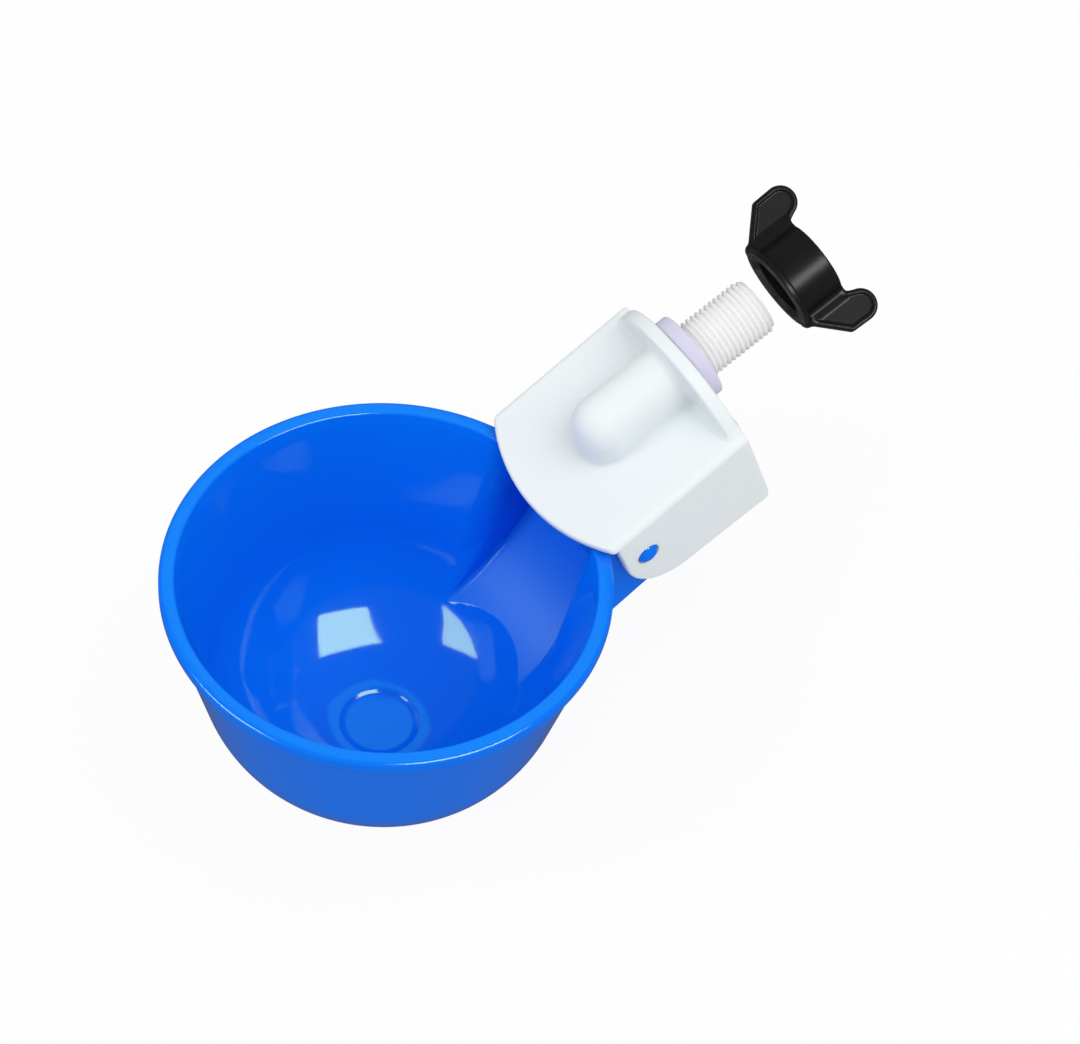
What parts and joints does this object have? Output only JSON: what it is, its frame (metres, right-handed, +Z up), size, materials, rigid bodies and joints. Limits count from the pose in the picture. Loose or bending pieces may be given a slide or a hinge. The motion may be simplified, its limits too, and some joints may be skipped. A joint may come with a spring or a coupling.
{
  "type": "automatic poultry waterer",
  "caption": "Tilting cup waterer for poultry: a round blue bowl hung on trunnions in a white hood with a threaded inlet, sealing washer and loose wing nut.",
  "frame": {"origin": "on the inlet thread's axis, in the rear face of the sealing washer, which bears on the bucket or panel wall", "axes": "+Y out along the thread, away from the bowl; +Z up; X across"},
  "size_m": [0.07, 0.123, 0.0546],
  "materials": {
    "bowl_blue": "glossy moulded plastic, dyed through",
    "hood_white": "satin moulded plastic",
    "inlet_white": "natural, slightly cloudy moulded plastic",
    "washer_silicone": "pale lavender silicone",
    "nut_black": "black moulded plastic",
    "seal_rubber": "soft black rubber",
    "spring_wire": "drawn stainless wire"
  },
  "bodies": {
    "hood": {"housing": "hood_white", "inlet_stub": "inlet_white", "sealing_washer": "washer_silicone", "plunger_guide": "hood_white", "plunger_spring": "spring_wire"},
    "bowl": {"cup": "bowl_blue"},
    "plunger": {"plunger": "hood_white", "plunger_seal": "seal_rubber"},
    "nut": {"wing_nut": "nut_black"}
  },
  "joints": [
    {"name": "bowl_tilt", "type": "hinge", "parent": "hood", "child": "bowl", "pos_m": [0, -0.0247, -0.0129], "axis": [1, 0, 0], "range_deg": [0, 21], "stiffness_Nm_per_rad": 0.03, "springref_deg": -20.05},
    {"name": "plunger_lift", "type": "slide", "parent": "hood", "child": "plunger", "axis": [0, 0, 1], "range_m": [0, 0.0042], "deforming": ["plunger_spring"]},
    {"name": "nut_run", "type": "slide", "parent": "hood", "child": "nut", "axis": [0, -1, 0], "range_m": [0, 0.0163]}
  ],
  "couplings": [
    {"joint": "plunger_lift", "follows": "bowl_tilt", "m_per_rad": 0.0114}
  ]
}
